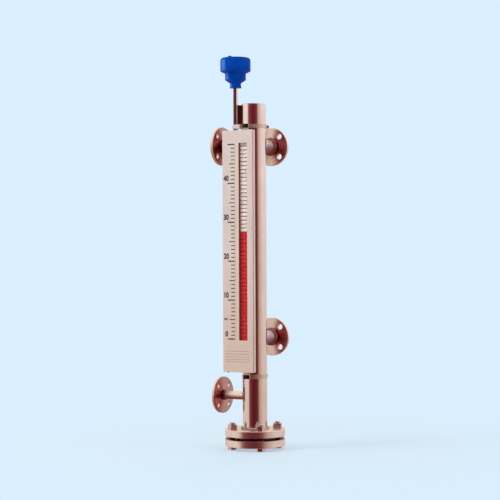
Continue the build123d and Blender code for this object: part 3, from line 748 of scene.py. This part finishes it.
SPINE_LEFT, SPINE_RIGHT, SPINE_END = -0.0251, -0.0222, 0.0016
SCALE_ZERO, SCALE_LENGTH, CENTIMETRES = 0.0, 0.5, 50
LONG_TICK, MIDDLE_TICK, SHORT_TICK = 0.0202, 0.0157, 0.0105
THICK_TICK, THIN_TICK, TICK_OVERLAP = 0.0032, 0.0024, 0.0003
marks = np.arange(CENTIMETRES + 1)
heights = SCALE_ZERO + marks * SCALE_LENGTH / CENTIMETRES
at_ten, at_five = marks % 10 == 0, marks % 5 == 0
reach = np.where(at_ten, LONG_TICK, np.where(at_five, MIDDLE_TICK, SHORT_TICK))
half = np.where(at_ten, THICK_TICK, THIN_TICK) / 2
ticks = bars(SPINE_LEFT - reach, SPINE_LEFT + TICK_OVERLAP, heights - half, heights + half)
make_piece("scale_marks", *ticks, finish_of["scale_ink"], "stainless_sheet", smooth=False)
spine = bars(SPINE_LEFT, SPINE_RIGHT, SCALE_ZERO - SPINE_END,
             SCALE_ZERO + SCALE_LENGTH + SPINE_END)
make_piece("scale_spine", *spine, finish_of["ochre_ink"], "stainless_sheet", smooth=False)
print("scale marks:", len(marks), "over", SCALE_LENGTH, "m")

# %% [markdown]
# A text object is the easy way to a numeral: its outlines are already there. It is turned into a
# mesh, its points are placed on the cover, and then it is like any other piece.


# %% Printed numerals
STROKE_DEPTH, STROKE_WIDENED = 0.01, 0.045


def printed_text(name, words, x, z, height, narrow=1.0):
    """Text of a given height, centred at x and z on the cover's face; text x, y become x, z."""
    curve = bpy.data.curves.new(name, "FONT")
    curve.body, curve.align_x, curve.size = words, "CENTER", 1.0
    curve.extrude, curve.offset = STROKE_DEPTH, STROKE_WIDENED
    source = bpy.data.objects.new(name + "_outline", curve)
    bpy.context.collection.objects.link(source)
    bpy.context.view_layer.update()
    evaluated = source.evaluated_get(bpy.context.evaluated_depsgraph_get())
    mesh = bpy.data.meshes.new_from_object(evaluated)
    bpy.data.objects.remove(source)
    points = mesh_points(mesh)
    low, high = points.min(0), points.max(0)
    scale = height / (high[1] - low[1])
    across = x + (points[:, 0] - (low[0] + high[0]) / 2) * scale * narrow
    up = z + (points[:, 1] - (low[1] + high[1]) / 2) * scale
    back = np.where(points[:, 2] > 0, print_front, print_back)
    mesh.vertices.foreach_set("co", np.stack([across, back, up], axis=1).ravel())
    place_piece(name, mesh, finish_of["scale_ink"])


NUMERAL_X, NUMERAL_LIFT, NUMERAL_HEIGHT, NUMERAL_NARROW = -0.0497, 0.0130, 0.0150, 0.80
UNIT_X, UNIT_Z, UNIT_HEIGHT = -0.0522, 0.0510, 0.0050
for tens in range(CENTIMETRES // 10):
    printed_text(f"numeral_{tens * 10}", str(tens * 10), NUMERAL_X,
                 SCALE_ZERO + tens * 0.1 + NUMERAL_LIFT, NUMERAL_HEIGHT, NUMERAL_NARROW)
printed_text("unit_cm", "cm", UNIT_X, UNIT_Z, UNIT_HEIGHT)
print("numerals:", CENTIMETRES // 10, "and the unit")

# %% [markdown]
# The lower part of the cover has a printed panel with rows of small print. Here it is blank:
# ruled lines stand where the rows would be.

# %% Ruled lines of the blank panel
RULE_LEFT, RULE_RIGHT, RULE_HALF = -0.0540, 0.0180, 0.0005
rule_heights = np.array([-0.0310, -0.0385, -0.0455, -0.0520, -0.0580])
rules = bars(RULE_LEFT, RULE_RIGHT, rule_heights - RULE_HALF, rule_heights + RULE_HALF)
make_piece("panel_rules", *rules, finish_of["rule_ink"], "stainless_sheet", smooth=False)
print("ruled lines:", len(rule_heights))

# %% [markdown]
# ### Welds
# Each branch pipe is welded to the chamber along the curve where two cylinders meet. On a pipe of
# radius r that enters a cylinder of radius R, a point at angle t lies at r cos t and r sin t in
# the pipe's own section, and as deep as sqrt(R^2 - (r cos t)^2). A round bead of weld follows that
# curve, and a hand weld is rippled like laid coins: its radius rises and falls with the angle. A
# plain ring would float off the curved wall at two sides, so the curve is worked out instead.


# %% Weld beads
UP_AXIS = np.array(UPWARD)
BEAD_SIDES, SADDLE_STEPS, RIPPLE_HEIGHT = 12, 240, 0.16


def full_turn(steps):
    """Even angles once round, without the first one again at the end."""
    return np.linspace(0, 2 * np.pi, steps, endpoint=False)


def unit_rows(vectors):
    """Each row over its own length."""
    return vectors / np.linalg.norm(vectors, axis=1, keepdims=True)


def bead_along(path, outward, radius, ripples):
    """Tube round a closed path: point + radius * ripple * (cos u * outward + sin u * side)."""
    ahead = unit_rows(np.roll(path, -1, axis=0) - np.roll(path, 1, axis=0))
    outward = unit_rows(outward - (outward * ahead).sum(1, keepdims=True) * ahead)
    side = np.cross(ahead, outward)
    wave = np.abs(np.sin(full_turn(len(path)) * ripples / 2))
    ripple = 1 + RIPPLE_HEIGHT * (wave - 0.5)
    around = full_turn(BEAD_SIDES)
    ring = (np.cos(around)[None, :, None] * outward[:, None, :]
            + np.sin(around)[None, :, None] * side[:, None, :])
    points = path[:, None, :] + radius * ripple[:, None, None] * ring
    return points.reshape(-1, 3), grid_faces(len(path), BEAD_SIDES, True, True)[:, ::-1]


def saddle(pipe_radius, direction, height):
    """The curve where a pipe along direction meets the chamber, and the pipe's outward normals."""
    turn = full_turn(SADDLE_STEPS)
    across = np.cross(direction, UP_AXIS)
    outward = np.cos(turn)[:, None] * across + np.sin(turn)[:, None] * UP_AXIS
    depth = np.sqrt(tube_radius ** 2 - (pipe_radius * np.cos(turn)) ** 2)
    centre = np.array([axis_x, axis_y, height])
    return centre + depth[:, None] * direction + pipe_radius * outward, outward


BEAD_RADIUS, FOOT_BEAD_RADIUS = 0.0024, 0.0034
RIPPLES_PER_RADIUS, FOOT_RIPPLES, FOOT_STEPS = 2400, 84, 420
FOOT_SUNK, FOOT_OUT = 0.0024, 0.0016
weld_steel = make_steel("weld_steel", (0.66, 0.50, 0.42), (0.40, 0.24, 0.20), 0.36,
                        (160.0, 160.0, 160.0), 120.0, 0.00006, film=0.6)
BRANCHES = {"upper_process": BACKWARD, "lower_process": BACKWARD,
            "vent": LEFTWARD, "drain": LEFTWARD}
for name, direction in BRANCHES.items():
    low, high = limits(name + "_nozzle")
    radius = float(high[2] - low[2]) / 2
    path, outward = saddle(radius, np.array(direction), float(low[2] + high[2]) / 2)
    bead = bead_along(path, outward, BEAD_RADIUS, round(radius * RIPPLES_PER_RADIUS))
    make_piece(name + "_weld", *bead, weld_steel, "stainless")
turn = full_turn(FOOT_STEPS)
ring_out = np.stack([np.cos(turn), np.sin(turn), np.zeros(turn.shape)], axis=1)
foot_centre = np.array([axis_x, axis_y, float(limits("chamber_flange")[1][2]) - FOOT_SUNK])
foot_path = foot_centre + (tube_radius + FOOT_OUT) * ring_out
foot_bead = bead_along(foot_path, ring_out, FOOT_BEAD_RADIUS, FOOT_RIPPLES)
make_piece("foot_weld", *foot_bead, weld_steel, "stainless")
print("welds:", len(BRANCHES) + 1)

# %% [markdown]
# ### Threads
# The foot bolts stand a few threads proud of their nuts. A screw thread is a cylinder whose
# radius is a zigzag of height, and the zigzag moves up by one pitch per turn. Cutting it as a
# solid would be slow, and only the tips show, so it is one more grid of points.


# %% Threads on the bolts' tips
BOLT_RADIUS, PITCH = 0.0069, 0.0020
CREST, ROOT = BOLT_RADIUS + 0.0003, BOLT_RADIUS + 0.00003
INTO_NUT, BELOW_TIP = 0.0003, 0.0009
THREAD_STEPS, ROWS_PER_PITCH = 36, 8


def thread(centre, low, high):
    """radius = root + (crest - root) * |2 frac(z / pitch - t / 2 pi) - 1| at angle t."""
    rows = int((high - low) / PITCH * ROWS_PER_PITCH) + 1
    z, t = np.meshgrid(np.linspace(low, high, rows), full_turn(THREAD_STEPS), indexing="ij")
    phase = z / PITCH - t / (2 * np.pi)
    radius = ROOT + (CREST - ROOT) * np.abs(2 * (phase - np.floor(phase)) - 1)
    radius[0], radius[-1] = ROOT, ROOT
    points = np.stack([centre[0] + radius * np.cos(t), centre[1] + radius * np.sin(t), z], axis=2)
    return points.reshape(-1, 3), grid_faces(rows, THREAD_STEPS, close_columns=True)


def four_middles(name, centre):
    """The middles of a part's four solids, which stand one in each quadrant round a centre."""
    points = mesh_points(nodes[name].data)
    quadrant = (points[:, 0] > centre[0]) * 2 + (points[:, 1] > centre[1])
    groups = [points[quadrant == number] for number in range(4)]
    return [(group.min(0) + group.max(0)) / 2 for group in groups]


thread_foot = float(limits("flange_nuts")[1][2]) - INTO_NUT
thread_top = float(limits("flange_bolts")[1][2]) - BELOW_TIP
threads = [thread(spot, thread_foot, thread_top)
           for spot in four_middles("flange_nuts", (axis_x, axis_y))]
make_piece("bolt_threads", *stack_meshes(threads), finish_of["fastener_steel"], "fastener")
print("threaded tips:", len(threads))

# %% [markdown]
# ## Studio
# The floor is large, pale and level, just under the bolts' heads. To the camera it has the
# background's own colour away from the gauge, so no horizon shows, and near the gauge it is an
# ordinary pale surface that takes a shadow.

# %% Floor
BACKDROP, FLOOR_LIGHT, FLOOR_DARK = (0.70, 0.865, 1.0), (0.74, 0.84, 0.92), (0.70, 0.80, 0.88)
FLOOR_GAP, FLOOR_HALF = 0.0005, 14.0


def camera_sees(tree):
    """1 for the camera's own rays, also behind the pane, and 0 for every other ray."""
    rays = tree.nodes.new("ShaderNodeLightPath").outputs
    return math_node(tree, "MAXIMUM", rays["Is Camera Ray"], rays["Is Transmission Ray"])


def make_floor_material():
    """Backdrop colour to the camera, faded into a shaded floor within a metre of the gauge."""
    material, tree, shader = start_material("studio_floor", Roughness=0.9)
    place = object_place(tree)
    colour = blend_colour(tree, noise(tree, place, 60.0, 2.0), FLOOR_DARK, FLOOR_LIGHT)
    feed(tree, shader, "Base Color", colour)
    far = remap(tree, vector_math(tree, "LENGTH", place), 0.25, 1.1, 0.55, 1.0, smooth=True)
    glow = add_node(tree, "ShaderNodeEmission", Color=BACKDROP, Strength=1.0)
    swap_shader(tree, math_node(tree, "MULTIPLY", far, camera_sees(tree)), shader, glow)
    return material


floor_z = float(cad_box[0][2]) - FLOOR_GAP
floor_mesh = bpy.data.meshes.new("studio_floor")
floor_mesh.from_pydata([(x * FLOOR_HALF, y * FLOOR_HALF, floor_z)
                        for x, y in ((-1, -1), (1, -1), (1, 1), (-1, 1))], [], [(0, 1, 2, 3)])
floor_mesh.materials.append(make_floor_material())
floor = bpy.data.objects.new("studio_floor", floor_mesh)
bpy.context.collection.objects.link(floor)
floor.visible_glossy = False
print("floor at", round(floor_z, 4))

# %% [markdown]
# Polished steel has almost no colour of its own: it shows the room. The room here is warm and
# pale all round, with one tall dark curtain in front of the gauge, as a studio stands dark cards
# beside bright metal to draw its edges. Only glossy rays meet this room. It is a ramp of
# colours over the compass angle of the ray, darker and browner towards the floor. Real cards in
# the scene would do the same, but they would also shade the lamps.


# %% World
def compass(degrees):
    """A compass angle from -180 to 180 degrees as a place from 0 to 1 on the ramp."""
    return (degrees + 180.0) / 360.0


# Compass angle in degrees, 0 in front of the gauge, and the room's colour there.
ROOM = [
    (-180, (0.95, 0.88, 0.84)), (-152, (0.84, 0.64, 0.52)), (-132, (0.94, 0.82, 0.72)),
    (-100, (1.02, 0.95, 0.90)), (-60, (1.06, 0.99, 0.94)), (-34, (1.04, 0.94, 0.87)),
    (-18, (0.25, 0.060, 0.075)), (20, (0.14, 0.010, 0.024)), (50, (0.17, 0.030, 0.030)),
    (61, (0.26, 0.06, 0.05)), (72, (0.66, 0.48, 0.43)), (98, (0.84, 0.75, 0.70)),
    (114, (0.96, 0.89, 0.88)), (180, (0.95, 0.88, 0.84)),
]
SHADED, FULLY_LIT = (0.62, 0.50, 0.42), (1.06, 1.06, 1.08)
ROOM_BELOW, ROOM_ABOVE, MATT_LIGHT = (0.44, 0.20, 0.11), (1.0, 0.95, 0.90), (0.62, 0.62, 0.63)


def room_ramp(tree, fraction):
    """The colours of ROOM over a fraction of the turn."""
    node = tree.nodes.new("ShaderNodeValToRGB")
    feed(tree, node, "0", fraction)
    node.color_ramp.interpolation = "EASE"
    stops = node.color_ramp.elements
    first, *between, last = [(compass(degrees), (*colour, 1.0)) for degrees, colour in ROOM]
    stops[0].position, stops[0].color = first
    stops[1].position, stops[1].color = last
    for position, colour in between:
        stops.new(position).color = colour
    return node.outputs[0]


def build_world():
    """Background to the camera, an even pale light to matt surfaces, the room to glossy rays."""
    world = bpy.data.worlds.new("studio_world")
    bpy.context.scene.world = world
    world.use_nodes = True
    tree = world.node_tree
    direction = tree.nodes.new("ShaderNodeTexCoord").outputs["Generated"]
    ray = add_node(tree, "ShaderNodeSeparateXYZ", Vector=direction).outputs
    angle = math_node(tree, "ARCTAN2", ray["X"], math_node(tree, "MULTIPLY", ray["Y"], -1.0))
    room = room_ramp(tree, remap(tree, angle, -math.pi, math.pi))
    lift = remap(tree, ray["Z"], -0.35, 0.20, smooth=True)
    shade = blend_colour(tree, lift, SHADED, FULLY_LIT)
    room = blend_colour(tree, 1.0, room, shade, mode="MULTIPLY")
    low = remap(tree, ray["Z"], -0.25, -0.80, 0.0, 0.85, smooth=True)
    room = blend_colour(tree, low, room, ROOM_BELOW)
    high = remap(tree, ray["Z"], 0.25, 0.75, 0.0, 0.8, smooth=True)
    room = blend_colour(tree, high, room, ROOM_ABOVE)
    is_glossy = tree.nodes.new("ShaderNodeLightPath").outputs["Is Glossy Ray"]
    colour = blend_colour(tree, is_glossy, MATT_LIGHT, room)
    colour = blend_colour(tree, camera_sees(tree), colour, BACKDROP)
    feed(tree, tree.nodes["Background"], "Color", colour)


build_world()
print("world: room of", len(ROOM), "stops")

# %% [markdown]
# Three large soft lamps do the rest: the main one high on the left, a weaker one on the right and
# a third from behind that lights the edges. They aren't seen in reflections, because in steel
# this bright they would burn out the flanges' rims. A lamp's power over pi squared times its
# distance squared is the level at which a white surface facing it renders.


# %% Lamps
LAMP_AIM = Vector((axis_x, axis_y, 0.2))
WARM_WHITE, WHITE = (1.0, 0.97, 0.94), (1.0, 1.0, 1.0)


def place_lamp(name, azimuth, elevation, distance, level, size, colour):
    """An area lamp that faces the gauge's middle; power = level * pi^2 * distance^2."""
    lamp_data = bpy.data.lights.new(name, "AREA")
    lamp_data.shape, lamp_data.size, lamp_data.color = "DISK", size, colour
    lamp_data.energy = level * math.pi ** 2 * distance ** 2
    lamp = bpy.data.objects.new(name, lamp_data)
    a, e = math.radians(azimuth), math.radians(elevation)
    back = Vector((math.sin(a) * math.cos(e), -math.cos(a) * math.cos(e), math.sin(e)))
    lamp.location = LAMP_AIM + back * distance
    lamp.rotation_euler = back.to_track_quat("Z", "Y").to_euler()
    lamp.visible_glossy = False
    bpy.context.collection.objects.link(lamp)


# Azimuth and elevation in degrees, distance in metres, level, width in metres and colour.
LAMPS = {
    "main_lamp": (-42, 42, 3.2, 0.40, 1.4, WARM_WHITE),
    "side_lamp": (98, 28, 3.4, 0.16, 1.8, WHITE),
    "rear_lamp": (200, 40, 3.2, 0.14, 1.6, WHITE),
}
for name, values in LAMPS.items():
    place_lamp(name, *values)
print("lamps:", len(LAMPS))

# %% [markdown]
# The camera stands level, four metres off and a little to the right of the scale, with a long
# lens, so upright edges stay upright. The small shift sets the gauge a little left of the middle.

# %% Camera
CAMERA_AZIMUTH, CAMERA_DISTANCE, CAMERA_HEIGHT, CAMERA_ROLL = 30.64, 4.022, 0.2285, 0.25
SENSOR_WIDTH, LENS_LENGTH, LENS_SHIFT = 36.0, 111.83, -0.0086
camera_data = bpy.data.cameras.new("camera")
camera_data.sensor_width, camera_data.lens = SENSOR_WIDTH, LENS_LENGTH
camera_data.shift_x = LENS_SHIFT
camera = bpy.data.objects.new("camera", camera_data)
turn_angle = math.radians(CAMERA_AZIMUTH)
camera.location = (float(axis_x) + CAMERA_DISTANCE * math.sin(turn_angle),
                   float(axis_y) - CAMERA_DISTANCE * math.cos(turn_angle), CAMERA_HEIGHT)
camera.rotation_euler = (math.pi / 2, math.radians(CAMERA_ROLL), turn_angle)
bpy.context.collection.objects.link(camera)
bpy.context.scene.camera = camera
bpy.context.scene.view_settings.view_transform = "Standard"
print("camera at", [round(v, 3) for v in camera.location])

# %% Import json
import json
